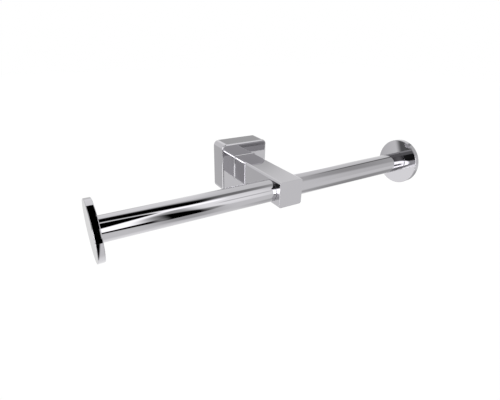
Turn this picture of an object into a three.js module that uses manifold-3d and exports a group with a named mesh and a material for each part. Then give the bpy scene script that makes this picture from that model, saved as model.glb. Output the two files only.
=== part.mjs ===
// Double toilet roll holder. A square rose hooks over a hidden wall bracket and carries a square arm.
// A round bar in two halves is clamped across the arm's end, and a disc cap screws into each end of it.
// Millimetres. The origin is the middle of the wall face: +X runs along the bar, +Y into the wall, +Z up.

import * as THREE from 'three';
import { mergeVertices } from 'three/addons/utils/BufferGeometryUtils.js';
import Module from 'manifold-3d';

// Bar
const barLength = 310; // over the outer faces of both caps
const barDiameter = 19;
const barReach = 82.5; // from the wall to the bar's axis
const tubeWall = 1.2;
const tubeLipRadius = 0.3;
const insertLength = 14;
const studDiameter = 8;
const studGrip = 10; // length of cross stud held in each half of the bar

// Caps
const capDiameter = 45;
const capThickness = 5;
const capEdgeRadius = 0.4;
const capSkin = 1.5; // metal left between the screw's socket and the outer face
const capScrewDiameter = 6;
const capScrewGrip = 8; // thread held in the bar, which is also how far the cap unscrews
const capNeckDiameter = 5; // plain neck that the sealing ring sits on
const ringSection = 1.5;

// Arm
const armSide = 23;
const armNose = 14; // from the bar's axis to the arm's front face
const armCornerRadius = 2;
const armEndRadius = 0.3;
const armFootRadius = 0.8; // hollow curve where the arm spreads against the rose
const armFootLip = 0.3; // thickness of the foot's edge
const tenonSide = 10;
const tenonShort = 0.5; // how far the tenon stops short of the rose's inner face

// Rose
const roseSide = 49;
const roseDepth = 19;
const roseCornerRadius = 5;
const roseFrontRadius = 0.8;
const roseBackRadius = 0.7;
const roseWall = 4;
const roseFront = 4;
const pocketCornerRadius = 2;
const hookWidth = 20;
const hookDepth = 4;
const hookSetback = 0.8; // from the wall to the hook's rear face

// Wall bracket
const bracketLift = 2.5; // room above and below, so that the rose can be lifted over the bracket
const bracketSideGap = 2.5;
const bracketUndercut = 2.5; // how much lower the bracket's wall edge is than its front edge
const bracketSetback = 6; // from the bracket's front face to the rose's inner face
const wallHoleInset = 6; // from the bracket's side to a screw hole's axis
const wallHoleDiameter = 4.6;
const wallSinkDiameter = 9.2;
const reliefGap = 1.5; // around the bolt head and behind it

// Grub screw
const grubDiameter = 4;
const grubSetback = 4.5; // from the wall to the screw's axis
const grubTipDiameter = 1.2;
const grubRecess = 0.5; // below the rose's lower face
const grubKey = 2;
const grubKeyDepth = 2.5;

// Arm bolt and its washers
const boltDiameter = 6;
const boltLength = 16;
const boltHeadDiameter = 10;
const boltHeadHeight = 4;
const boltKey = 4;
const boltKeyDepth = 2.3;
const boltTipGap = 2; // depth of hole left past the bolt's end
const washerLap = 1.7; // how far the washer reaches past the corners of the tenon's hole
const washerThickness = 1.6;
const springWasherDiameter = 11;
const springWasherThickness = 1.6;
const springWasherSplit = 1; // width of the cut in the ring

// Fits
const seatGap = 0.05; // between faces that are clamped together
const slipGap = 0.15; // around what slides in by hand
const threadGap = 0.1; // around a thread's crest
const hookGap = 0.3;
const capGap = 0.2; // between a closed cap and the bar's end
const ringGap = 0.25; // around the sealing ring, along the bar and across it
const threadChamfer = 0.6;

// Smoothness of round faces
const discSegments = 48;
const tubeSegments = 32;
const smallSegments = 20;
const cornerSegments = 8;
const edgeSegments = 3;
const ringSegments = 8;
const hexSegments = 6;

// Sizes that follow
const pocketSide = roseSide - 2 * roseWall;
const pocketDepth = roseDepth - roseFront;
const bracketThickness = pocketDepth - bracketSetback;
const bracketWidth = pocketSide - 2 * bracketSideGap;
const bracketFrontHalf = pocketSide / 2 - bracketLift;
const bracketBackHalf = bracketFrontHalf - bracketUndercut;
const tenonHole = tenonSide + 2 * slipGap;
const washerDiameter = tenonHole * Math.SQRT2 + 2 * washerLap;
const washerSeat = seatGap - pocketDepth;
const springWasherSeat = washerSeat + washerThickness + seatGap;
const boltSeat = springWasherSeat + springWasherThickness + seatGap;
const armFront = -(barReach + armNose);
const armBack = -(roseDepth + seatGap);
const halfBarStart = armSide / 2 + seatGap;
const capInner = barLength / 2 - capThickness;
const halfBarEnd = capInner - capGap;
const tubeInner = barDiameter / 2 - tubeWall;
const ringInner = capNeckDiameter / 2 + slipGap;
const ringSeatDepth = ringSection + 2 * ringGap - capGap;
const ringSeat = halfBarEnd - ringSeatDepth;
const cutOver = 1; // how far a cutter passes the face that it cuts

const wasm = await Module();
wasm.setup();

// A closed geometry as a solid, with its seams welded and the flat triangles at its poles dropped.
function solidOf(geometry) {
  geometry.deleteAttribute('normal');
  geometry.deleteAttribute('uv');
  const welded = mergeVertices(geometry);
  const corners = welded.getIndex().array;
  const triangles = [];
  for (let i = 0; i < corners.length; i += 3) {
    const [a, b, c] = corners.subarray(i, i + 3);
    if (a !== b && b !== c && c !== a) triangles.push(a, b, c);
  }
  return new wasm.Manifold(new wasm.Mesh({
    numProp: 3,
    vertProperties: Float32Array.from(welded.getAttribute('position').array),
    triVerts: Uint32Array.from(triangles),
  }));
}

// A named piece of the holder from its solid.
function piece(name, solid, material) {
  const { vertProperties, triVerts } = solid.getMesh();
  const geometry = new THREE.BufferGeometry();
  geometry.setAttribute('position', new THREE.BufferAttribute(vertProperties, 3));
  geometry.setIndex(new THREE.BufferAttribute(triVerts, 1));
  const mesh = new THREE.Mesh(geometry, material);
  mesh.name = name;
  return mesh;
}

function finish(color, roughness, metalness) {
  return new THREE.MeshStandardMaterial({ color, roughness, metalness, flatShading: true });
}

const chrome = () => finish(0xd9dbdf, 0.06, 1);
const castZinc = () => finish(0x9b9da0, 0.55, 1);
const platedSteel = () => finish(0xb8bbbf, 0.35, 1);
const brass = () => finish(0xb8913f, 0.35, 1);
const rubber = () => finish(0x1d1d1f, 0.8, 0);

// Turns a profile of [radius, height] points, listed upwards along the outside, about the Y axis.
function turned(profile, segments) {
  const points = profile.map(([radius, height]) => new THREE.Vector2(radius, height));
  return new THREE.LatheGeometry(points, segments);
}

// A ring's profile comes back to its first point, and its bore is listed downwards.
function turnedRing(inner, outer, low, high, segments) {
  return turned([[inner, low], [outer, low], [outer, high], [inner, high], [inner, low]], segments);
}

// Points on a quarter circle round [radius, height], from one angle to the next.
function quarter(radius, height, size, from, steps) {
  const points = [];
  for (let i = 0; i <= steps; i += 1) {
    const angle = from + (i / steps) * (Math.PI / 2);
    points.push([radius + size * Math.cos(angle), height + size * Math.sin(angle)]);
  }
  return points;
}

// A rod with chamfered ends.
function rod(radius, low, high, chamfer) {
  return [
    [0, low],
    [radius - chamfer, low],
    [radius, low + chamfer],
    [radius, high - chamfer],
    [radius - chamfer, high],
    [0, high],
  ];
}

const toX = (geometry) => geometry.rotateZ(-Math.PI / 2);
const toZ = (geometry) => geometry.rotateX(Math.PI / 2);

function hexCutter(key, depth) {
  return new THREE.CylinderGeometry(key / Math.sqrt(3), key / Math.sqrt(3), depth, hexSegments);
}

// Points round a square with round corners, anticlockwise as seen from the front.
function roundedSquare(side, radius) {
  const reach = side / 2 - radius;
  const corners = [[reach, reach], [-reach, reach], [-reach, -reach], [reach, -reach]];
  return corners.flatMap(([x, z], i) => quarter(x, z, radius, (i * Math.PI) / 2, cornerSegments));
}

// A square block along y. Each ring is [inset, y], listed from the back to the front.
function squareBlock(side, cornerRadius, rings) {
  const outlines = rings.map(([inset, y]) => (
    roundedSquare(side - 2 * inset, cornerRadius - inset).map(([x, z]) => [x, y, z])
  ));
  const count = outlines[0].length;
  const last = count * (rings.length - 1);
  const backMiddle = count * rings.length;
  const frontMiddle = backMiddle + 1;
  const points = [...outlines.flat(), [0, outlines[0][0][1], 0], [0, outlines.at(-1)[0][1], 0]];
  const triangles = [];
  for (let i = 0; i < count; i += 1) {
    const next = (i + 1) % count;
    triangles.push(backMiddle, next, i, frontMiddle, last + i, last + next);
    for (let low = 0; low < last; low += count) {
      const high = low + count;
      triangles.push(low + i, low + next, high + next, low + i, high + next, high + i);
    }
  }
  const geometry = new THREE.BufferGeometry();
  geometry.setAttribute('position', new THREE.Float32BufferAttribute(points.flat(), 3));
  return geometry.setIndex(triangles);
}

// Rings over a block's rounded edge, at its back end and at its front end.
const backEdge = (y, radius) => quarter(radius, y - radius, radius, Math.PI / 2, edgeSegments);
const frontEdge = (y, radius) => quarter(radius, y + radius, radius, Math.PI, edgeSegments);

// A block of a [y, z] outline that runs across x, centred on the holder.
function crossBlock(outline, width) {
  const shape = new THREE.Shape(outline.map(([y, z]) => new THREE.Vector2(y, z)));
  const geometry = new THREE.ExtrudeGeometry(shape, { depth: width, bevelEnabled: false });
  return geometry.translate(0, 0, -width / 2).rotateY(Math.PI / 2).rotateX(Math.PI / 2);
}

// Half height of the bracket's sloping edge at a distance from the wall.
function bracketHalfAt(distance) {
  return bracketBackHalf + (bracketUndercut * distance) / bracketThickness;
}

// The bracket is a dovetail plate: the hook and the grub screw pull the rose back along its sloping edges.
function wallBracket() {
  const outline = [
    [-bracketThickness, -bracketFrontHalf],
    [0, -bracketBackHalf],
    [0, bracketBackHalf],
    [-bracketThickness, bracketFrontHalf],
  ];
  const holeRadius = wallHoleDiameter / 2;
  const sinkRadius = wallSinkDiameter / 2;
  const wallHole = turned([
    [0, -bracketThickness - cutOver],
    [sinkRadius, -bracketThickness - cutOver],
    [sinkRadius, -bracketThickness],
    [holeRadius, -bracketThickness + sinkRadius - holeRadius],
    [holeRadius, cutOver],
    [0, cutOver],
  ], smallSegments);
  const reliefEnd = boltSeat + boltHeadHeight + reliefGap;
  const reliefRadius = boltHeadDiameter / 2 + reliefGap;
  const relief = turned(rod(reliefRadius, -bracketThickness - cutOver, reliefEnd, 0), smallSegments);
  const hole = solidOf(wallHole);
  const holeX = bracketWidth / 2 - wallHoleInset;
  let plate = solidOf(crossBlock(outline, bracketWidth));
  plate = plate.subtract(hole.translate([holeX, 0, 0]));
  plate = plate.subtract(hole.translate([-holeX, 0, 0]));
  return plate.subtract(solidOf(relief));
}

// The rose is a cast cover: a square pocket at the back, a hook at its top and a threaded hole at its bottom.
function rose() {
  const hookFront = hookSetback + hookDepth;
  const hook = crossBlock([
    [-hookFront, bracketHalfAt(hookFront) + hookGap],
    [-hookSetback, bracketHalfAt(hookSetback) + hookGap],
    [-hookSetback, pocketSide / 2 + roseWall / 2],
    [-hookFront, pocketSide / 2 + roseWall / 2],
  ], hookWidth);
  const pocket = squareBlock(pocketSide, pocketCornerRadius, [[0, cutOver], [0, -pocketDepth]]);
  const shell = squareBlock(roseSide, roseCornerRadius, [
    ...backEdge(0, roseBackRadius),
    ...frontEdge(-roseDepth, roseFrontRadius),
  ]);
  const armHole = new THREE.BoxGeometry(tenonHole, roseFront + 2 * cutOver, tenonHole);
  armHole.translate(0, -pocketDepth - roseFront / 2, 0);
  const grubRadius = grubDiameter / 2 + threadGap;
  const grubRod = rod(grubRadius, -roseSide / 2 - cutOver, -pocketSide / 2 + cutOver, 0);
  const grubHole = toZ(turned(grubRod, smallSegments));
  grubHole.translate(0, -grubSetback, 0);
  return solidOf(shell)
    .subtract(solidOf(pocket))
    .add(solidOf(hook))
    .subtract(solidOf(armHole))
    .subtract(solidOf(grubHole));
}

// The grub screw's cone bears on the bracket's lower slope.
function grubScrew() {
  const radius = grubDiameter / 2;
  const tipRadius = grubTipDiameter / 2;
  const low = grubRecess - roseSide / 2;
  const tip = -bracketHalfAt(grubSetback + tipRadius) - seatGap;
  const body = toZ(turned([
    [0, low],
    [radius - threadGap, low],
    [radius, low + threadGap],
    [radius, tip - radius + tipRadius],
    [tipRadius, tip],
    [0, tip],
  ], smallSegments));
  const socket = toZ(hexCutter(grubKey, grubKeyDepth + cutOver));
  socket.translate(0, 0, low + (grubKeyDepth - cutOver) / 2);
  return solidOf(body).subtract(solidOf(socket)).translate([0, -grubSetback, 0]);
}

// The arm is solid bar with a square tenon behind, a threaded hole in the tenon and a bore across its nose.
// Its foot spreads in a hollow curve against the rose.
function arm() {
  const footTop = armBack - armFootLip - armFootRadius;
  const body = squareBlock(armSide, armCornerRadius, [
    [-armFootRadius, armBack],
    ...quarter(-armFootRadius, footTop, armFootRadius, 0, edgeSegments).reverse(),
    ...frontEdge(armFront, armEndRadius),
  ]);
  const tenonBack = -pocketDepth - tenonShort;
  const tenon = new THREE.BoxGeometry(tenonSide, tenonBack - armBack + cutOver, tenonSide);
  tenon.translate(0, (tenonBack + armBack - cutOver) / 2, 0);
  const boltHoleEnd = boltSeat - boltLength - boltTipGap;
  const boltRod = rod(boltDiameter / 2 + threadGap, boltHoleEnd, tenonBack + cutOver, 0);
  const boltHole = turned(boltRod, smallSegments);
  const boreHalf = armSide / 2 + cutOver;
  const bore = toX(turned(rod(studDiameter / 2 + slipGap, -boreHalf, boreHalf, 0), smallSegments));
  bore.translate(0, -barReach, 0);
  return solidOf(body)
    .add(solidOf(tenon))
    .subtract(solidOf(boltHole))
    .subtract(solidOf(bore));
}

// A low-head socket bolt clamps the arm to the rose from inside the pocket.
function armBolt() {
  const radius = boltDiameter / 2;
  const headRadius = boltHeadDiameter / 2;
  const headTop = boltSeat + boltHeadHeight;
  const body = turned([
    [0, boltSeat - boltLength],
    [radius - threadChamfer, boltSeat - boltLength],
    [radius, boltSeat - boltLength + threadChamfer],
    [radius, boltSeat],
    [headRadius, boltSeat],
    [headRadius, headTop - threadChamfer],
    [headRadius - threadChamfer, headTop],
    [0, headTop],
  ], smallSegments);
  const socket = hexCutter(boltKey, boltKeyDepth + cutOver);
  socket.translate(0, headTop - (boltKeyDepth - cutOver) / 2, 0);
  return solidOf(body).subtract(solidOf(socket));
}

function armWasher() {
  const inner = boltDiameter / 2 + slipGap;
  const high = washerSeat + washerThickness;
  return solidOf(turnedRing(inner, washerDiameter / 2, washerSeat, high, tubeSegments));
}

function springWasher() {
  const inner = boltDiameter / 2 + slipGap;
  const outer = springWasherDiameter / 2;
  const high = springWasherSeat + springWasherThickness;
  const split = new THREE.BoxGeometry(springWasherSplit, 2 * springWasherThickness, outer + cutOver);
  split.translate(0, springWasherSeat + springWasherThickness / 2, (outer + cutOver) / 2);
  return solidOf(turnedRing(inner, outer, springWasherSeat, high, tubeSegments)).subtract(solidOf(split));
}

// The stud joins the two halves of the bar through the arm.
function crossStud() {
  const half = armSide / 2 + studGrip;
  return solidOf(toX(turned(rod(studDiameter / 2, -half, half, threadChamfer), smallSegments)));
}

// The visible tube of one half of the bar, with its end edges eased.
function barTube() {
  const outer = barDiameter / 2;
  const lip = tubeLipRadius;
  return solidOf(toX(turned([
    [tubeInner, halfBarStart],
    ...quarter(outer - lip, halfBarStart + lip, lip, -Math.PI / 2, edgeSegments),
    ...quarter(outer - lip, halfBarEnd - lip, lip, 0, edgeSegments),
    [tubeInner, halfBarEnd],
    [tubeInner, halfBarStart],
  ], tubeSegments)));
}

// The inner insert is brazed into the tube and screws onto the cross stud.
function innerInsert() {
  const bore = studDiameter / 2 + threadGap;
  const outer = tubeInner - seatGap;
  return solidOf(toX(turnedRing(bore, outer, halfBarStart, halfBarStart + insertLength, tubeSegments)));
}

// The outer insert takes the cap's screw, and its mouth is bored out for the sealing ring.
function outerInsert() {
  const bore = capScrewDiameter / 2 + threadGap;
  const mouth = ringInner + ringSection + ringGap;
  const outer = tubeInner - seatGap;
  return solidOf(toX(turned([
    [bore, halfBarEnd - insertLength],
    [outer, halfBarEnd - insertLength],
    [outer, halfBarEnd],
    [mouth, halfBarEnd],
    [mouth, ringSeat],
    [bore, ringSeat],
    [bore, halfBarEnd - insertLength],
  ], tubeSegments)));
}

// The cap is a plain disc with soft edges and a blind hole for its screw.
function cap() {
  const radius = capDiameter / 2;
  const high = capInner + capThickness;
  const edge = capEdgeRadius;
  const socketRadius = capScrewDiameter / 2 + threadGap;
  return solidOf(toX(turned([
    [0, high - capSkin],
    [socketRadius, high - capSkin],
    [socketRadius, capInner],
    ...quarter(radius - edge, capInner + edge, edge, -Math.PI / 2, edgeSegments),
    ...quarter(radius - edge, high - edge, edge, 0, edgeSegments),
    [0, high],
  ], discSegments)));
}

// The cap's screw is locked in the disc and has a plain neck under it.
function capScrew() {
  const radius = capScrewDiameter / 2;
  const neck = capNeckDiameter / 2;
  const low = ringSeat - capScrewGrip;
  const high = capInner + capThickness - capSkin - seatGap;
  return solidOf(toX(turned([
    [0, low],
    [radius - threadChamfer, low],
    [radius, low + threadChamfer],
    [radius, ringSeat],
    [neck, ringSeat],
    [neck, capInner],
    [radius, capInner],
    [radius, high],
    [0, high],
  ], smallSegments)));
}

function capRing() {
  const middle = ringInner + ringSection / 2;
  const points = [];
  for (let i = 0; i <= ringSegments; i += 1) {
    const angle = (i / ringSegments) * 2 * Math.PI;
    points.push([
      middle + (ringSection / 2) * Math.cos(angle),
      capInner - ringGap - ringSection / 2 + (ringSection / 2) * Math.sin(angle),
    ]);
  }
  return solidOf(toX(turned(points, smallSegments)));
}

// One half of the bar with its cap. The left half is the right one turned half a turn about the upright.
function barHalf(side, turn) {
  const half = new THREE.Group();
  half.add(
    piece(`${side}_tube`, barTube(), chrome()),
    piece(`${side}_inner_insert`, innerInsert(), brass()),
    piece(`${side}_outer_insert`, outerInsert(), brass()),
    piece(`${side}_cap`, cap(), chrome()),
    piece(`${side}_cap_screw`, capScrew(), platedSteel()),
    piece(`${side}_cap_ring`, capRing(), rubber()),
  );
  half.rotation.z = turn;
  return half;
}

const wallMount = new THREE.Group();
wallMount.add(
  piece('wall_bracket', wallBracket(), castZinc()),
  piece('rose', rose(), chrome()),
  piece('grub_screw', grubScrew(), platedSteel()),
);

const armMount = new THREE.Group();
armMount.add(
  piece('arm', arm(), chrome()),
  piece('arm_bolt', armBolt(), platedSteel()),
  piece('arm_washer', armWasher(), platedSteel()),
  piece('arm_spring_washer', springWasher(), platedSteel()),
);

const bar = new THREE.Group();
bar.add(
  piece('cross_stud', crossStud(), platedSteel()),
  barHalf('right', 0),
  barHalf('left', Math.PI),
);
bar.position.y = -barReach;

const holder = new THREE.Group();
holder.add(wallMount, armMount, bar);

export default holder;
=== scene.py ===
# Double toilet roll holder: a hidden wall plate, a square rose and arm, and a round bar with two disc caps.
# Metres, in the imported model's frame: +X runs along the bar, +Y into the wall and +Z up.
import math

import bmesh
import bpy
from mathutils import Matrix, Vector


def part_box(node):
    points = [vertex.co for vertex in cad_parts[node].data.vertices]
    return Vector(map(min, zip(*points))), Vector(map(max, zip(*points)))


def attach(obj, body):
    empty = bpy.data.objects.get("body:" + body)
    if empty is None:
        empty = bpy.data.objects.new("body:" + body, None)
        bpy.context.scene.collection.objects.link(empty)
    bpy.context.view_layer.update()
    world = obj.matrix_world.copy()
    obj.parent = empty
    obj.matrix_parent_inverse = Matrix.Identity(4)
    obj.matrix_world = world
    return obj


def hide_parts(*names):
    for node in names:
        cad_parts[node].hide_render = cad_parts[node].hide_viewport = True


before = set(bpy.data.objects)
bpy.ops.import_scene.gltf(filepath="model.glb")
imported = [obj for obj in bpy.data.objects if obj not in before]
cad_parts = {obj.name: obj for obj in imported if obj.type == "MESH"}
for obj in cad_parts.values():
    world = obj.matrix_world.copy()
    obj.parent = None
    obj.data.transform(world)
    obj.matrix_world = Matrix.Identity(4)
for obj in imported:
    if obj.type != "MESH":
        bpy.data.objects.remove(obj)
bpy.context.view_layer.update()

# Wall plate
# A dovetail plate of cast zinc alloy, screwed to the wall through two countersunk holes.
# The rose hooks over its sloping top edge, and a round relief clears the bolt head behind the arm.
plate_low, plate_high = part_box("wall_bracket")
plate_undercut = 0.0025
plate_edge = 0.0005
wall_hole_radius = 0.0023
wall_sink_radius = 0.0046
wall_hole_inset = 0.006
relief_radius = 0.0065
relief_floor = 0.00615
small_steps = 48
cut_past = 0.001
crease = math.radians(32)


def shaped(name, points, faces):
    """A closed piece from its points and faces, smooth over its rounded edges and crisp at its sharp ones."""
    mesh = bpy.data.meshes.new(name)
    work = bmesh.new()
    corners = [work.verts.new(point) for point in points]
    for face in faces:
        work.faces.new([corners[i] for i in face])
    bmesh.ops.recalc_face_normals(work, faces=work.faces)
    work.to_mesh(mesh)
    work.free()
    mesh.shade_smooth()
    mesh.set_sharp_from_angle(angle=crease)
    piece = bpy.data.objects.new(name, mesh)
    bpy.context.scene.collection.objects.link(piece)
    return piece


def frozen(piece):
    """Applies the piece's modifiers, so that its mesh is plain."""
    graph = bpy.context.evaluated_depsgraph_get()
    mesh = bpy.data.meshes.new_from_object(piece.evaluated_get(graph))
    piece.modifiers.clear()
    rough_mesh = piece.data
    piece.data = mesh
    bpy.data.meshes.remove(rough_mesh)
    mesh.name = piece.name
    mesh.set_sharp_from_angle(angle=crease)
    return piece


def joined(piece, other, operation):
    """Cuts another solid out of the piece, or welds it on, and removes that solid."""
    step = piece.modifiers.new("join", "BOOLEAN")
    step.operation = operation
    step.solver = "EXACT"
    step.object = other
    frozen(piece)
    mesh = other.data
    bpy.data.objects.remove(other)
    bpy.data.meshes.remove(mesh)
    return piece


def eased(piece, width, segments=3):
    """Rounds the piece's sharp edges."""
    step = piece.modifiers.new("ease", "BEVEL")
    step.width = width
    step.segments = segments
    step.limit_method = "ANGLE"
    step.angle_limit = crease
    return frozen(piece)


def turned(name, profile, axis, centre, steps, ring=False):
    """Turns a profile of (radius, distance along the axis) points. A ring's profile closes on itself."""
    along = "XYZ".index(axis)
    across = [i for i in range(3) if i != along]
    points = []
    for radius, distance in profile:
        for step in range(steps):
            angle = 2 * math.pi * step / steps
            point = list(centre)
            point[along] = distance
            point[across[0]] += radius * math.cos(angle)
            point[across[1]] += radius * math.sin(angle)
            points.append(point)
    count = len(profile)
    faces = []
    for low in range(count if ring else count - 1):
        high = (low + 1) % count
        for step in range(steps):
            after = (step + 1) % steps
            faces.append([low * steps + step, low * steps + after, high * steps + after, high * steps + step])
    if not ring:
        faces.append(list(range(steps)))
        faces.append(list(range((count - 1) * steps, count * steps)))
    return shaped(name, points, faces)


def extruded(name, outline, low_x, high_x):
    """A block of a (y, z) outline that runs from one x to the other."""
    count = len(outline)
    points = [(low_x, y, z) for y, z in outline] + [(high_x, y, z) for y, z in outline]
    faces = [[i, (i + 1) % count, count + (i + 1) % count, count + i] for i in range(count)]
    return shaped(name, points, faces + [list(range(count)), list(range(count, 2 * count))])


def noise(material, scale, detail, low=0, high=1):
    """A soft random value over the piece, between low and high."""
    nodes, links = material.node_tree.nodes, material.node_tree.links
    place = nodes.new("ShaderNodeTexCoord")
    grain = nodes.new("ShaderNodeTexNoise")
    grain.inputs["Scale"].default_value = scale
    grain.inputs["Detail"].default_value = detail
    span = nodes.new("ShaderNodeMapRange")
    span.inputs["To Min"].default_value = low
    span.inputs["To Max"].default_value = high
    links.new(place.outputs["Object"], grain.inputs["Vector"])
    links.new(grain.outputs["Fac"], span.inputs["Value"])
    return span.outputs["Result"]


def bumped(material, height, distance):
    """Raises the surface by a height pattern."""
    nodes, links = material.node_tree.nodes, material.node_tree.links
    bump = nodes.new("ShaderNodeBump")
    bump.inputs["Distance"].default_value = distance
    links.new(height, bump.inputs["Height"])
    links.new(bump.outputs["Normal"], nodes["Principled BSDF"].inputs["Normal"])


def tinted(material, amount, dark, light):
    """Shades the colour between two tones by a pattern."""
    nodes, links = material.node_tree.nodes, material.node_tree.links
    ramp = nodes.new("ShaderNodeMix")
    ramp.data_type = "RGBA"
    ramp.inputs["A"].default_value = (*dark, 1)
    ramp.inputs["B"].default_value = (*light, 1)
    links.new(amount, ramp.inputs["Factor"])
    links.new(ramp.outputs["Result"], nodes["Principled BSDF"].inputs["Base Color"])


def metal(name):
    material = bpy.data.materials.new(name)
    material.use_nodes = True
    material.node_tree.nodes["Principled BSDF"].inputs["Metallic"].default_value = 1
    return material


def cast_zinc():
    """Dull grey casting with a fine pebbled skin."""
    material = metal("cast_zinc")
    links = material.node_tree.links
    shader = material.node_tree.nodes["Principled BSDF"]
    cloud = noise(material, scale=180, detail=4)
    tinted(material, cloud, dark=(0.26, 0.27, 0.28), light=(0.42, 0.43, 0.44))
    haze = noise(material, scale=400, detail=3, low=0.42, high=0.62)
    links.new(haze, shader.inputs["Roughness"])
    grain = noise(material, scale=1600, detail=2)
    bumped(material, grain, distance=0.00006)
    return material


def fitted(piece, body, node, material):
    """Gives a finished piece its material and its place on a body, and hides the node that it stands for."""
    piece.data.materials.clear()
    piece.data.materials.append(material)
    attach(piece, body)
    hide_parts(node)


plate_back = plate_high.z - plate_undercut
plate = extruded(
    "dovetail_plate",
    [
        (plate_low.y, plate_low.z),
        (plate_high.y, -plate_back),
        (plate_high.y, plate_back),
        (plate_low.y, plate_high.z),
    ],
    plate_low.x,
    plate_high.x,
)
sink_depth = wall_sink_radius - wall_hole_radius
for hole_x in (plate_low.x + wall_hole_inset, plate_high.x - wall_hole_inset):
    hole = turned(
        "wall_hole",
        [
            (wall_sink_radius, plate_low.y - cut_past),
            (wall_sink_radius, plate_low.y),
            (wall_hole_radius, plate_low.y + sink_depth),
            (wall_hole_radius, cut_past),
        ],
        "Y",
        (hole_x, 0, 0),
        small_steps,
    )
    joined(plate, hole, "DIFFERENCE")
relief = turned(
    "relief",
    [(relief_radius, plate_low.y - cut_past), (relief_radius, -relief_floor)],
    "Y",
    (0, 0, 0),
    small_steps,
)
joined(plate, relief, "DIFFERENCE")
eased(plate, plate_edge)
fitted(plate, "holder", "wall_bracket", cast_zinc())

# Rose
# The square cover that shows on the wall, die cast in zinc alloy, polished and chrome plated.
# It is hollow behind, hooks over the plate's top edge and has a threaded hole for the grub screw below.
rose_low, rose_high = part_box("rose")
rose_corner = 0.005
rose_front_edge = 0.0005
rose_front_roll = 0.0014
rose_back_edge = 0.0007
rose_wall = 0.004
rose_front = 0.004
pocket_corner = 0.002
pocket_fillet = 0.001
hook_half = 0.010
hook_back = 0.0008
hook_front = 0.0048
hook_gap = 0.0003
grub_line = 0.0045
grub_hole_radius = 0.0021
arm_hole_half = 0.00515
support = 0.00006
corner_steps = 12
edge_steps = 8


def rounded_square(half, corner):
    """The outline of a square with round corners, with a point close to both ends of each straight side."""
    points = []
    for quarter in range(4):
        start = quarter * math.pi / 2
        middle = (half - corner) * math.sqrt(2)
        middle_x = middle * math.cos(start + math.pi / 4)
        middle_z = middle * math.sin(start + math.pi / 4)
        arc = []
        for step in range(corner_steps + 1):
            angle = start + math.pi / 2 * step / corner_steps
            arc.append((middle_x + corner * math.cos(angle), middle_z + corner * math.sin(angle)))
        end = start + math.pi / 2
        first = (arc[0][0] + support * math.sin(start), arc[0][1] - support * math.cos(start))
        last = (arc[-1][0] - support * math.sin(end), arc[-1][1] + support * math.cos(end))
        points += [first, *arc, last]
    return points


def rounding(middle, distance, size, start):
    """A quarter round in a profile or in a block's rings, with a point just before and just after it."""
    points = []
    for step in range(edge_steps + 1):
        angle = start + math.pi / 2 * step / edge_steps
        points.append((middle + size * math.cos(angle), distance + size * math.sin(angle)))
    end = start + math.pi / 2
    before = (points[0][0] + support * math.sin(start), points[0][1] - support * math.cos(start))
    after = (points[-1][0] - support * math.sin(end), points[-1][1] + support * math.cos(end))
    return [before, *points, after]


def back_edge(y, size):
    return rounding(size, y - size, size, math.pi / 2)


def front_edge(y, size, width=None):
    """A round front edge, or an oval one that is wider across the face than it is deep."""
    stretch = (width or size) / size
    return [(inset * stretch, edge_y) for inset, edge_y in rounding(size, y + size, size, math.pi)]


def square_block(name, half, corner, rings):
    """A square block along Y with round corners. Each ring is (inset, y), from the back to the front."""
    points = []
    for inset, y in rings:
        points += [(x, y, z) for x, z in rounded_square(half - inset, corner - inset)]
    count = len(points) // len(rings)
    faces = [list(range(count)), list(range(len(points) - count, len(points)))]
    for ring in range(len(rings) - 1):
        for i in range(count):
            j = (i + 1) % count
            faces.append([ring * count + i, ring * count + j, (ring + 1) * count + j, (ring + 1) * count + i])
    return shaped(name, points, faces)


def chrome_plate():
    """Mirror chrome over polished metal, with a faint uneven haze."""
    material = metal("chrome_plate")
    links = material.node_tree.links
    shader = material.node_tree.nodes["Principled BSDF"]
    cloud = noise(material, scale=25, detail=2)
    tinted(material, cloud, dark=(0.488, 0.480, 0.502), light=(0.503, 0.495, 0.517))
    haze = noise(material, scale=90, detail=3, low=0.004, high=0.016)
    links.new(haze, shader.inputs["Roughness"])
    return material


chrome = chrome_plate()
rose = square_block(
    "rose_cover",
    rose_high.x,
    rose_corner,
    back_edge(rose_high.y, rose_back_edge)
    + front_edge(rose_low.y, rose_front_edge, rose_front_roll),
)
pocket_half = rose_high.x - rose_wall
pocket_floor = rose_low.y + rose_front
pocket = square_block(
    "pocket", pocket_half, pocket_corner, [(0, cut_past), *front_edge(pocket_floor, pocket_fillet)]
)
joined(rose, pocket, "DIFFERENCE")
slope = plate_undercut / (plate_high.y - plate_low.y)
hook = extruded(
    "hook",
    [
        (-hook_front, plate_back + slope * hook_front + hook_gap),
        (-hook_back, plate_back + slope * hook_back + hook_gap),
        (-hook_back, pocket_half + rose_wall / 2),
        (-hook_front, pocket_half + rose_wall / 2),
    ],
    -hook_half,
    hook_half,
)
joined(rose, hook, "UNION")
grub_hole = turned(
    "grub_hole",
    [(grub_hole_radius, rose_low.z - cut_past), (grub_hole_radius, -pocket_half + cut_past)],
    "Z",
    (0, -grub_line, 0),
    small_steps,
)
joined(rose, grub_hole, "DIFFERENCE")
arm_hole = extruded(
    "arm_hole",
    [
        (rose_low.y - cut_past, -arm_hole_half),
        (pocket_floor + cut_past, -arm_hole_half),
        (pocket_floor + cut_past, arm_hole_half),
        (rose_low.y - cut_past, arm_hole_half),
    ],
    -arm_hole_half,
    arm_hole_half,
)
joined(rose, arm_hole, "DIFFERENCE")
fitted(rose, "holder", "rose", chrome)

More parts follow.
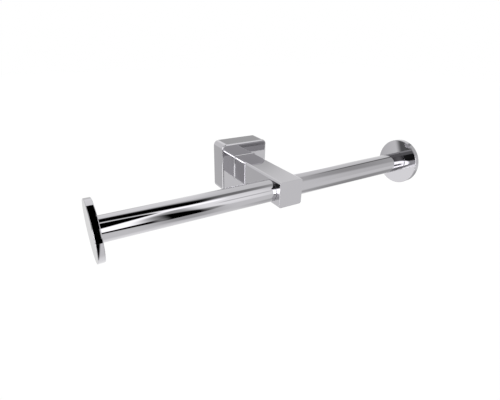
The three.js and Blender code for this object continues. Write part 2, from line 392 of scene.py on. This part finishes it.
# Grub screw
# Zinc-plated steel with a cone point and a hex socket, driven up through the rose's lower wall.
# Its thread is cut by a node tree that the bolt, the stud and the cap screws use too.
grub_low, grub_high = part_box("grub_screw")
grub_tip = 0.0014
grub_lead = 0.0002
grub_key = 0.002
grub_key_depth = 0.0025
m4_pitch = 0.0007
thread_depth = 0.613  # of the pitch, as are the crest and the root
thread_crest = 0.0625
thread_root = 0.375
thread_rows = 8  # of faces to each turn
thread_sides = 48
key_sides = 6


def sum_of(tree, operation, *values):
    """One step of arithmetic in a node tree."""
    step = tree.nodes.new("ShaderNodeMath")
    step.operation = operation
    for socket, value in zip(step.inputs, values):
        if isinstance(value, bpy.types.NodeSocket):
            tree.links.new(value, socket)
        else:
            socket.default_value = value
    return step.outputs[0]


def thread_tree():
    """A right-hand machine thread along +Z from the origin, with tapered ends and a plain neck."""
    tree = bpy.data.node_groups.new("machine_thread", "GeometryNodeTree")
    sizes = ("Radius", "Length", "Pitch", "Depth", "Lead", "Tip", "Neck Radius", "Neck Start", "Neck End")
    for name in sizes:
        tree.interface.new_socket(name, in_out="INPUT", socket_type="NodeSocketFloat")
    tree.interface.new_socket("Material", in_out="INPUT", socket_type="NodeSocketMaterial")
    tree.interface.new_socket("Geometry", in_out="OUTPUT", socket_type="NodeSocketGeometry")
    given = tree.nodes.new("NodeGroupInput").outputs
    rod = tree.nodes.new("GeometryNodeMeshCylinder")
    rod.fill_type = "NGON"
    rod.inputs["Vertices"].default_value = thread_sides
    turns = sum_of(tree, "DIVIDE", given["Length"], given["Pitch"])
    tree.links.new(sum_of(tree, "MULTIPLY", turns, thread_rows), rod.inputs["Side Segments"])
    tree.links.new(given["Radius"], rod.inputs["Radius"])
    tree.links.new(given["Length"], rod.inputs["Depth"])

    place = tree.nodes.new("ShaderNodeSeparateXYZ")
    tree.links.new(tree.nodes.new("GeometryNodeInputPosition").outputs["Position"], place.inputs[0])
    x, y = place.outputs["X"], place.outputs["Y"]
    height = sum_of(tree, "MULTIPLY_ADD", given["Length"], 0.5, place.outputs["Z"])
    around = sum_of(tree, "DIVIDE", sum_of(tree, "ARCTAN2", y, x), 2 * math.pi)
    climb = sum_of(tree, "SUBTRACT", sum_of(tree, "DIVIDE", height, given["Pitch"]), around)
    vee = sum_of(tree, "PINGPONG", climb, 0.5)
    groove = tree.nodes.new("ShaderNodeMapRange")
    groove.inputs["From Min"].default_value = thread_crest
    groove.inputs["From Max"].default_value = thread_root
    tree.links.new(vee, groove.inputs["Value"])
    tree.links.new(given["Depth"], groove.inputs["To Max"])
    low_end = sum_of(tree, "SUBTRACT", given["Lead"], height)
    high_end = sum_of(tree, "SUBTRACT", given["Tip"], sum_of(tree, "SUBTRACT", given["Length"], height))
    past_start = sum_of(tree, "GREATER_THAN", height, given["Neck Start"])
    before_end = sum_of(tree, "LESS_THAN", height, given["Neck End"])
    neck_cut = sum_of(tree, "SUBTRACT", given["Radius"], given["Neck Radius"])
    neck = sum_of(tree, "MULTIPLY", neck_cut, sum_of(tree, "MULTIPLY", past_start, before_end))
    cut = groove.outputs["Result"]
    for other in (low_end, high_end, neck):
        cut = sum_of(tree, "MAXIMUM", cut, other)
    share = sum_of(tree, "SUBTRACT", 1, sum_of(tree, "DIVIDE", cut, given["Radius"]))
    spot = tree.nodes.new("ShaderNodeCombineXYZ")
    tree.links.new(sum_of(tree, "MULTIPLY", x, share), spot.inputs["X"])
    tree.links.new(sum_of(tree, "MULTIPLY", y, share), spot.inputs["Y"])
    tree.links.new(height, spot.inputs["Z"])

    kinds = ("SetPosition", "RealizeInstances", "SetMaterial")
    steps = [tree.nodes.new("GeometryNode" + kind) for kind in kinds]
    tree.links.new(spot.outputs["Vector"], steps[0].inputs["Position"])
    tree.links.new(given["Material"], steps[2].inputs["Material"])
    geometry = rod.outputs["Mesh"]
    for step in steps:
        tree.links.new(geometry, step.inputs["Geometry"])
        geometry = step.outputs["Geometry"]
    tree.links.new(geometry, tree.nodes.new("NodeGroupOutput").inputs["Geometry"])
    return tree


threads = thread_tree()


def threaded(name, radius, length, pitch, lead, tip, material, place, neck=(0, 0, 0)):
    """A threaded rod, made along +Z and then put in its place."""
    piece = shaped(name, [], [])
    step = piece.modifiers.new("thread", "NODES")
    step.node_group = threads
    values = (radius, length, pitch, thread_depth * pitch, lead, tip, *neck, material)
    sockets = [item for item in threads.interface.items_tree if item.in_out == "INPUT"]
    for socket, value in zip(sockets, values):
        step[socket.identifier] = value
    frozen(piece)
    piece.data.shade_smooth()
    piece.data.set_sharp_from_angle(angle=crease)
    piece.data.transform(place)
    return piece


def hex_socket(key, low, high, axis, centre):
    """The hole for a hex key, whose size is measured across its flats."""
    corner = key / math.sqrt(3)
    return turned("key_hole", [(corner, low), (corner, high)], axis, centre, key_sides)


def plated_steel():
    """Bright zinc plate: silvery and a little cloudy, over fine tool marks."""
    material = metal("plated_steel")
    links = material.node_tree.links
    shader = material.node_tree.nodes["Principled BSDF"]
    cloud = noise(material, scale=300, detail=3)
    tinted(material, cloud, dark=(0.50, 0.52, 0.56), light=(0.66, 0.67, 0.68))
    haze = noise(material, scale=500, detail=3, low=0.20, high=0.36)
    links.new(haze, shader.inputs["Roughness"])
    grain = noise(material, scale=3000, detail=2)
    bumped(material, grain, distance=0.00002)
    return material


steel = plated_steel()
grub = threaded(
    "locking_grub",
    grub_high.x,
    grub_high.z - grub_low.z,
    m4_pitch,
    grub_lead,
    grub_tip,
    steel,
    Matrix.Translation((0, -grub_line, grub_low.z)),
)
grub_socket = hex_socket(
    grub_key, grub_low.z - cut_past, grub_low.z + grub_key_depth, "Z", (0, -grub_line, 0)
)
joined(grub, grub_socket, "DIFFERENCE")
fitted(grub, "holder", "grub_screw", steel)

# Arm
# Solid square bar, polished and chrome plated. A square tenon behind keeps it upright in the rose,
# and a bore across its nose takes the stud that joins the two halves of the bar.
# Its foot spreads in a small hollow curve against the rose.
arm_low, arm_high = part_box("arm")
arm_half = 0.0115
arm_corner = 0.002
arm_edge = 0.0003
arm_foot = 0.0008
arm_foot_lip = 0.0003
arm_seat = 0.00005
tenon_half = 0.005
bolt_hole_radius = 0.0031
bolt_hole_end = -0.02965
bore_radius = 0.00415
tube_low, tube_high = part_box("right_tube")
bar_y = (tube_low.y + tube_high.y) / 2

arm_back = rose_low.y - arm_seat
foot_curve = rounding(-arm_foot, arm_back - arm_foot_lip - arm_foot, arm_foot, 0)
arm = square_block(
    "square_arm",
    arm_half,
    arm_corner,
    [(-arm_foot, arm_back), *foot_curve[-2::-1], *front_edge(arm_low.y, arm_edge)],
)
tenon = extruded(
    "tenon",
    [
        (arm_back - cut_past, -tenon_half),
        (arm_high.y, -tenon_half),
        (arm_high.y, tenon_half),
        (arm_back - cut_past, tenon_half),
    ],
    -tenon_half,
    tenon_half,
)
joined(arm, tenon, "UNION")
bolt_hole = turned(
    "bolt_hole",
    [(bolt_hole_radius, bolt_hole_end), (bolt_hole_radius, arm_high.y + cut_past)],
    "Y",
    (0, 0, 0),
    small_steps,
)
joined(arm, bolt_hole, "DIFFERENCE")
bore = turned(
    "bore",
    [(bore_radius, -arm_half - cut_past), (bore_radius, arm_half + cut_past)],
    "X",
    (0, bar_y, 0),
    small_steps,
)
joined(arm, bore, "DIFFERENCE")
fitted(arm, "holder", "arm", chrome)

# Arm bolt
# A low-head socket bolt of zinc-plated steel, which clamps the arm from inside the rose.
# A flat washer and a split spring washer lie under its head.
bolt_low, bolt_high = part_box("arm_bolt")
bolt_shank = 0.003
bolt_length = 0.016
bolt_head_edge = 0.0006
bolt_key = 0.004
bolt_key_depth = 0.0023
m6_pitch = 0.001
thread_lead = 0.0006
washer_hole = 0.00315
washer_edge = 0.0002
spring_split = 0.001

bolt_seat = bolt_low.y + bolt_length
bolt = threaded(
    "clamp_bolt",
    bolt_shank,
    bolt_length + cut_past,
    m6_pitch,
    thread_lead,
    0,
    steel,
    Matrix.Translation((0, bolt_low.y, 0)) @ Matrix.Rotation(-math.pi / 2, 4, "X"),
)
head = turned(
    "head",
    [
        (bolt_high.x, bolt_seat),
        (bolt_high.x, bolt_high.y - bolt_head_edge),
        (bolt_high.x - bolt_head_edge, bolt_high.y),
    ],
    "Y",
    (0, 0, 0),
    small_steps,
)
joined(bolt, head, "UNION")
bolt_socket = hex_socket(bolt_key, bolt_high.y - bolt_key_depth, bolt_high.y + cut_past, "Y", (0, 0, 0))
joined(bolt, bolt_socket, "DIFFERENCE")
fitted(bolt, "holder", "arm_bolt", steel)

for name, node in (("clamp_washer", "arm_washer"), ("clamp_spring_washer", "arm_spring_washer")):
    low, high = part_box(node)
    washer = turned(
        name,
        [
            (washer_hole, low.y),
            (high.x - washer_edge, low.y),
            (high.x, low.y + washer_edge),
            (high.x, high.y - washer_edge),
            (high.x - washer_edge, high.y),
            (washer_hole, high.y),
        ],
        "Y",
        (0, 0, 0),
        small_steps,
        ring=True,
    )
    if node == "arm_spring_washer":
        slot_outline = [
            (low.y - cut_past, 0),
            (high.y + cut_past, 0),
            (high.y + cut_past, 2 * high.x),
            (low.y - cut_past, 2 * high.x),
        ]
        joined(washer, extruded("split", slot_outline, -spring_split / 2, spring_split / 2), "DIFFERENCE")
    fitted(washer, "holder", node, steel)

# Cross stud
# A threaded stud of zinc-plated steel through the arm's nose.
# It draws both halves of the bar against the arm.
stud_low, stud_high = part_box("cross_stud")
m8_pitch = 0.00125
stud = threaded(
    "through_stud",
    stud_high.z,
    stud_high.x - stud_low.x,
    m8_pitch,
    thread_lead,
    thread_lead,
    steel,
    Matrix.Translation((stud_low.x, bar_y, 0)) @ Matrix.Rotation(math.pi / 2, 4, "Y"),
)
fitted(stud, "holder", "cross_stud", steel)

# Bar
# Two chrome-plated steel tubes, one on each side of the arm, with their end edges eased.
# A turned brass plug is brazed into each end: one screws onto the stud, the other takes the cap's screw.
tube_wall = 0.0012
tube_lip = 0.0003
bar_steps = 160
plug_edge = 0.0004
stud_bore = 0.0041
screw_bore = 0.0031
seal_bore = 0.0044
seal_seat = 0.148
half_turn = (
    Matrix.Translation((0, bar_y, 0)) @ Matrix.Rotation(math.pi, 4, "Z") @ Matrix.Translation((0, -bar_y, 0))
)


def turned_brass():
    """Machined brass with fine turning marks round the bar's axis."""
    material = metal("turned_brass")
    nodes, links = material.node_tree.nodes, material.node_tree.links
    shader = nodes["Principled BSDF"]
    cloud = noise(material, scale=200, detail=3)
    tinted(material, cloud, dark=(0.58, 0.40, 0.15), light=(0.70, 0.51, 0.23))
    haze = noise(material, scale=300, detail=2, low=0.20, high=0.32)
    links.new(haze, shader.inputs["Roughness"])
    place = nodes.new("ShaderNodeTexCoord")
    shift = nodes.new("ShaderNodeVectorMath")
    shift.operation = "MULTIPLY_ADD"
    shift.inputs[1].default_value = (0, 1, 1)
    shift.inputs[2].default_value = (0, -bar_y, 0)
    reach = nodes.new("ShaderNodeVectorMath")
    reach.operation = "LENGTH"
    parts = nodes.new("ShaderNodeSeparateXYZ")
    mark = nodes.new("ShaderNodeCombineXYZ")
    marks = nodes.new("ShaderNodeTexNoise")
    marks.inputs["Scale"].default_value = 4000
    links.new(place.outputs["Object"], shift.inputs[0])
    links.new(place.outputs["Object"], parts.inputs[0])
    links.new(shift.outputs["Vector"], reach.inputs[0])
    links.new(parts.outputs["X"], mark.inputs["X"])
    links.new(reach.outputs["Value"], mark.inputs["Y"])
    links.new(mark.outputs["Vector"], marks.inputs["Vector"])
    bumped(material, marks.outputs["Fac"], distance=0.00002)
    return material


brass = turned_brass()
for side in ("left", "right"):
    radius = tube_high.z
    tube = turned(
        side + "_bar",
        [
            (radius - tube_wall, tube_low.x),
            *rounding(radius - tube_lip, tube_low.x + tube_lip, tube_lip, -math.pi / 2),
            *rounding(radius - tube_lip, tube_high.x - tube_lip, tube_lip, 0),
            (radius - tube_wall, tube_high.x),
        ],
        "X",
        (0, bar_y, 0),
        bar_steps,
        ring=True,
    )
    low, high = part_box("right_inner_insert")
    arm_plug = turned(
        side + "_arm_plug",
        [
            (stud_bore, low.x + plug_edge),
            (stud_bore + plug_edge, low.x),
            (high.z - plug_edge, low.x),
            (high.z, low.x + plug_edge),
            (high.z, high.x - plug_edge),
            (high.z - plug_edge, high.x),
            (stud_bore + plug_edge, high.x),
            (stud_bore, high.x - plug_edge),
        ],
        "X",
        (0, bar_y, 0),
        small_steps,
        ring=True,
    )
    low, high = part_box("right_outer_insert")
    disc_plug = turned(
        side + "_disc_plug",
        [
            (screw_bore, low.x),
            (high.z - plug_edge, low.x),
            (high.z, low.x + plug_edge),
            (high.z, high.x - plug_edge),
            (high.z - plug_edge, high.x),
            (seal_bore + plug_edge, high.x),
            (seal_bore, high.x - plug_edge),
            (seal_bore, seal_seat),
            (screw_bore + plug_edge, seal_seat),
            (screw_bore, seal_seat - plug_edge),
        ],
        "X",
        (0, bar_y, 0),
        small_steps,
        ring=True,
    )
    if side == "left":
        for piece in (tube, arm_plug, disc_plug):
            piece.data.transform(half_turn)
    fitted(tube, "holder", side + "_tube", chrome)
    fitted(arm_plug, "holder", side + "_inner_insert", brass)
    fitted(disc_plug, "holder", side + "_outer_insert", brass)

# Caps
# Turned discs, chrome plated all over, with crisp edges and a blind hole. A screw is locked in each one,
# and a rubber ring on the screw's neck keeps the cap from working loose.
cap_low, cap_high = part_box("right_cap")
cap_edge = 0.0004
cap_skin = 0.0015
cap_socket_radius = 0.0031
disc_steps = 192
screw_low, screw_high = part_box("right_cap_screw")
screw_tip = 0.0003
screw_neck = 0.0025
seal_low, seal_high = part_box("right_cap_ring")
seal_steps = 24
seal_flash = 0.00003


def black_rubber():
    """Moulded black rubber with a dry, slightly mottled skin."""
    material = bpy.data.materials.new("black_rubber")
    material.use_nodes = True
    links = material.node_tree.links
    shader = material.node_tree.nodes["Principled BSDF"]
    cloud = noise(material, scale=500, detail=3)
    tinted(material, cloud, dark=(0.010, 0.010, 0.011), light=(0.024, 0.024, 0.025))
    haze = noise(material, scale=800, detail=3, low=0.52, high=0.70)
    links.new(haze, shader.inputs["Roughness"])
    grain = noise(material, scale=2500, detail=3)
    bumped(material, grain, distance=0.00003)
    return material


rubber = black_rubber()
seal_half = (seal_high.x - seal_low.x) / 2
seal_middle = seal_high.z - seal_half
seal_outline = []
for step in range(seal_steps):
    angle = 2 * math.pi * step / seal_steps
    size = seal_half + (seal_flash if step == 0 else 0)
    seal_x = seal_low.x + seal_half + size * math.sin(angle)
    seal_outline.append((seal_middle + size * math.cos(angle), seal_x))
for side in ("left", "right"):
    radius = cap_high.z
    cap = turned(
        side + "_disc",
        [
            (cap_socket_radius, cap_high.x - cap_skin),
            (cap_socket_radius, cap_low.x),
            *rounding(radius - cap_edge, cap_low.x + cap_edge, cap_edge, -math.pi / 2),
            *rounding(radius - cap_edge, cap_high.x - cap_edge, cap_edge, 0),
        ],
        "X",
        (0, bar_y, 0),
        disc_steps,
    )
    screw = threaded(
        side + "_disc_screw",
        screw_high.z,
        screw_high.x - screw_low.x,
        m6_pitch,
        thread_lead,
        screw_tip,
        steel,
        Matrix.Translation((screw_low.x, bar_y, 0)) @ Matrix.Rotation(math.pi / 2, 4, "Y"),
        (screw_neck, seal_seat - screw_low.x, cap_low.x - screw_low.x),
    )
    seal = turned(side + "_disc_seal", seal_outline, "X", (0, bar_y, 0), small_steps, ring=True)
    if side == "left":
        for piece in (cap, screw, seal):
            piece.data.transform(half_turn)
    fitted(cap, side + "_cap", side + "_cap", chrome)
    fitted(screw, side + "_cap", side + "_cap_screw", steel)
    fitted(seal, side + "_ring", side + "_cap_ring", rubber)

# Setting
# A white studio with soft boxes, paper, a window and dark flags, which polished chrome shows as white and
# black lines, and white paper below. The camera stands where the photograph was taken.
scene = bpy.context.scene
scene.view_settings.view_transform = "Standard"
world = bpy.data.worlds.new("studio")
world.use_nodes = True
scene.world = world
studio = world.node_tree
world.cycles.sampling_method = "MANUAL"
world.cycles.sample_map_resolution = 256


def card(under, brightness, soft, corners):
    """Stands a card with soft edges in the studio, in front of what is under it."""
    cover = 1
    for (side, turn), (next_side, next_turn) in zip(corners, corners[1:] + corners[:1]):
        length = math.hypot(next_side - side, next_turn - turn)
        slope_side = (turn - next_turn) / length
        slope_turn = (next_side - side) / length
        inside = sum_of(studio, "MULTIPLY_ADD", sideways, slope_side, -side * slope_side - turn * slope_turn)
        inside = sum_of(studio, "MULTIPLY_ADD", turning, slope_turn, inside)
        fall = studio.nodes.new("ShaderNodeMapRange")
        fall.interpolation_type = "SMOOTHSTEP"
        fall.inputs["From Min"].default_value = -soft / 2
        fall.inputs["From Max"].default_value = soft / 2
        studio.links.new(inside, fall.inputs["Value"])
        cover = sum_of(studio, "MULTIPLY", fall.outputs["Result"], cover)
    change = sum_of(studio, "SUBTRACT", brightness, under)
    return sum_of(studio, "MULTIPLY_ADD", change, cover, under)


way = studio.nodes.new("ShaderNodeTexCoord")
parts = studio.nodes.new("ShaderNodeSeparateXYZ")
studio.links.new(way.outputs["Generated"], parts.inputs[0])
front = sum_of(studio, "MULTIPLY", parts.outputs["Y"], -1)
sideways = sum_of(studio, "DEGREES", sum_of(studio, "ARCSINE", parts.outputs["X"]))
turning = sum_of(studio, "DEGREES", sum_of(studio, "ARCTAN2", parts.outputs["Z"], front))

# Each card is its brightness, the width of its soft edge and its corners, which run anticlockwise.
# A corner is (side, turn): degrees to the right along the bar, and degrees up and over from the front.
# A later card covers the earlier ones.
studio_cards = (
    # A soft box before the left half of the bar, and the pale paper above and below it.
    (1.2, 10, (1, 116), (22, 116), (22, 200), (1, 200)),
    (0.8, 12, (-5, 164), (14, 167), (14, 200), (-5, 200)),
    (0.8, 12, (-5, -200), (10, -200), (10, -168), (-5, -168)),
    (1.3, 24, (0, -150), (16, -150), (16, -78), (0, -78)),
    (1.35, 8, (2, -12), (33, -12), (33, 62), (2, 66)),
    (1.4, 6, (1, 55), (16, 55), (16, 75), (1, 95)),
    (2.1, 5, (2, -4), (12.5, -4), (24.5, 44), (24.5, 52), (20, 60), (13, 62), (2, 28)),
    (1.45, 6, (16, 0), (28, 0), (28, 36), (22, 42), (16, 44)),
    (0.85, 3, (23.5, 17), (32, 17), (32, 26), (23.5, 26)),
    # The dark room beyond it: bars overhead, the stand's foot with its shadow, and a line along the table.
    (0.3, 12, (20, 62), (33, 66), (33, 92), (20, 95)),
    (0.6, 8, (13.5, -58), (20.5, -72), (22.5, -70), (22.5, -27), (13.5, -27)),
    (0.0, 5, (2, 86.5), (16.5, 61), (20, 57.5), (22.5, 64), (22.5, 84), (18, 92), (12, 100), (2, 106)),
    (0.0, 14, (-10, 105), (18, 72), (22.5, 74), (23.5, 88), (22, 97), (14, 109.5), (8, 116.5), (-10, 124)),
    (0.0, 3, (2, 20.5), (7.5, 33), (12, 44.5), (14.2, 51), (12.8, 61), (10.5, 66.5), (7.5, 71), (2, 77)),
    (0.55, 5, (11.2, -6), (20.5, -6), (19.2, 30), (17.8, 45), (15, 47), (10.3, 22)),
    (0.4, 3, (19.5, -27), (23, -25), (24.2, -8), (21, 3)),
    (0.0, 3, (14.3, -29), (21.4, -29), (21.4, -6), (20, 6), (17, 19), (13.6, 27)),
    (0.0, 4, (2, -12.5), (14, -27), (14, -4.5), (2, -4.5)),
    # Grey walls to the right, with a dark line above and below.
    (0.85, 12, (42, -10), (56, -10), (56, 50), (42, 50)),
    (0.5, 22, (35, 46), (54, 34), (54, 108), (45, 106), (36, 97)),
    (0.15, 6, (40, 86), (54, 100), (54, 116), (40, 94)),
    (0.78, 6, (28, -165), (33.5, -165), (33.5, -62), (28, -62)),
    (0.45, 22, (34, -95), (46, -120), (56, -122), (56, -46), (34, -60)),
    (0.2, 6, (38, -95), (46, -114), (47, -106), (39, -88)),
    # The wall that the holder hangs on.
    (0.55, 6, (23, 159.2), (33.5, 155.6), (33.5, 230), (23, 230)),
    (0.45, 6, (22, -230), (33.5, -230), (33.5, -165), (22, -165)),
    (1.6, 5, (35.5, 160), (43, 165), (43, 200), (35.5, 200)),
    (1.6, 5, (35.5, -200), (43, -200), (43, -170), (35.5, -170)),
    (0.75, 6, (-50, -175), (-12, -175), (-12, -152), (-50, -152)),
    # A dark room to the left with a bright window, which the right disc and the rose show.
    (0.3, 8, (-62, 80), (-28, 84), (-28, 138), (-62, 138)),
    (0.02, 1, (-90, -62), (-52, -52), (-51.9, -5), (-51, 16), (-49.6, 30), (-49.5, 84), (-90, 84)),
    (0.05, 5, (-52, 28), (-20, 33), (-20, 84), (-52, 84)),
    (
        4.2, 0.4, (-52.5, -50), (-32.6, -62), (-32.6, 8), (-50.3, 30),
        (-51.7, 20), (-52.3, 10), (-52.65, -8), (-52.7, -25),
    ),
    (1.2, 1, (-48.8, -26.8), (-36.8, -20.8), (-36.8, 10), (-48.8, 26)),
    (1.2, 1, (-48.8, -56), (-30, -66), (-30, -30.5), (-48.8, -38.5)),
    (4.2, 2, (-32, 24), (-18, 26), (-18, 34), (-32, 32)),
    (1.2, 4, (-23, -45), (-1.5, -45), (-1.5, -8), (-23, -8)),
    (0.82, 1.5, (-28.6, -26.5), (-26.8, -26.5), (-26.8, -19.2), (-28.6, -19.2)),
    (7.0, 2, (-36, -17.5), (-24, -17.5), (-19, 22), (-23, 28), (-36, 20)),
    (0.05, 0.6, (-40.3, -25.6), (-28.7, -21.9), (-28.7, -19), (-40.3, -22)),
    (0.05, 0.6, (-49.3, -30.4), (-40.3, -25.6), (-40.3, -22), (-49.3, -27)),
    (0.2, 0.8, (-51.7, -30), (-50.3, -30), (-50.3, -9), (-51.6, -9)),
    (0.4, 2, (-53, -104), (-50, -110), (-50, -66), (-53, -50)),
    (2.4, 2, (-60, -130), (-51, -130), (-51, -106), (-53, -66), (-60, -62)),
    (0.6, 8, (-56, 142), (-46, 142), (-46, 200), (-56, 200)),
    (0.15, 0.8, (-64, -220), (-51.7, -220), (-51.7, -153), (-64, -153)),
    (1.3, 1.5, (-60, -152), (-47, -152), (-47, -144), (-60, -144)),
    # The paper and the black flag that the left disc's face and rim show.
    (0.8, 4, (-12, -170), (3, -170), (3, -140), (-12, -140)),
    (0.0, 0.25, (1.5, -20), (5, -20), (5, 122), (1.5, 122)),
    (0.0, 0.25, (1.5, -92), (3.88, -92), (4.58, -20), (1.5, -20)),
)
light = 1.0
for brightness, soft, *corners in studio_cards:
    light = card(light, brightness, soft, corners)
studio.links.new(light, studio.nodes["Background"].inputs["Color"])
backdrop = studio.nodes.new("ShaderNodeBackground")
backdrop.inputs["Color"].default_value = (1, 1, 1, 1)
ray = studio.nodes.new("ShaderNodeLightPath")
seen = studio.nodes.new("ShaderNodeMixShader")
studio.links.new(ray.outputs["Is Camera Ray"], seen.inputs["Fac"])
studio.links.new(studio.nodes["Background"].outputs["Background"], seen.inputs[1])
studio.links.new(backdrop.outputs["Background"], seen.inputs[2])
studio.links.new(seen.outputs["Shader"], studio.nodes["World Output"].inputs["Surface"])

# White paper lies below the holder and keeps its faint shadow. Only the camera sees it, and only from above.
floor_drop = 0.3
floor_reach = 4.0
floor_glow = 0.9
floor_shade = (0.15, 0.15, 0.15, 1)
floor_mesh = bpy.data.meshes.new("floor")
floor_corners = ((-1, -1), (1, -1), (1, 1), (-1, 1))
floor_points = [(x * floor_reach, y * floor_reach, -floor_drop) for x, y in floor_corners]
floor_mesh.from_pydata(floor_points, [], [range(len(floor_points))])
floor = bpy.data.objects.new("floor", floor_mesh)
scene.collection.objects.link(floor)
paper = bpy.data.materials.new("floor_paper")
paper.use_nodes = True
sheet = paper.node_tree
sheet.nodes.clear()
shade = sheet.nodes.new("ShaderNodeBsdfDiffuse")
shade.inputs["Color"].default_value = floor_shade
glow = sheet.nodes.new("ShaderNodeEmission")
glow.inputs["Strength"].default_value = floor_glow
white = sheet.nodes.new("ShaderNodeAddShader")
sheet.links.new(shade.outputs["BSDF"], white.inputs[0])
sheet.links.new(glow.outputs["Emission"], white.inputs[1])
sheet_ray = sheet.nodes.new("ShaderNodeLightPath")
sheet_side = sheet.nodes.new("ShaderNodeNewGeometry")
unseen = sheet.nodes.new("ShaderNodeBsdfTransparent")
from_above = sum_of(sheet, "SUBTRACT", sheet_ray.outputs["Is Camera Ray"], sheet_side.outputs["Backfacing"])
sheet_mix = sheet.nodes.new("ShaderNodeMixShader")
sheet.links.new(from_above, sheet_mix.inputs["Fac"])
sheet.links.new(unseen.outputs["BSDF"], sheet_mix.inputs[1])
sheet.links.new(white.outputs["Shader"], sheet_mix.inputs[2])
sheet_end = sheet.nodes.new("ShaderNodeOutputMaterial")
sheet.links.new(sheet_mix.outputs["Shader"], sheet_end.inputs["Surface"])
floor_mesh.materials.append(paper)

camera_place = (-0.17124, -0.31168, 0.12129)
camera_yaw = math.radians(31.39)
camera_pitch = math.radians(-25.13)
camera_roll = math.radians(1.22)
focal_pixels = 357.7
frame_width = 500
sensor_width = 36
camera = bpy.data.objects.new("camera", bpy.data.cameras.new("camera"))
camera.data.sensor_fit = "HORIZONTAL"
camera.data.sensor_width = sensor_width
camera.data.lens = focal_pixels / frame_width * sensor_width
camera.data.clip_start = 0.01
camera.matrix_world = (
    Matrix.Translation(camera_place)
    @ Matrix.Rotation(-camera_yaw, 4, "Z")
    @ Matrix.Rotation(math.pi / 2 + camera_pitch, 4, "X")
    @ Matrix.Rotation(camera_roll, 4, "Z")
)
scene.collection.objects.link(camera)
scene.camera = camera
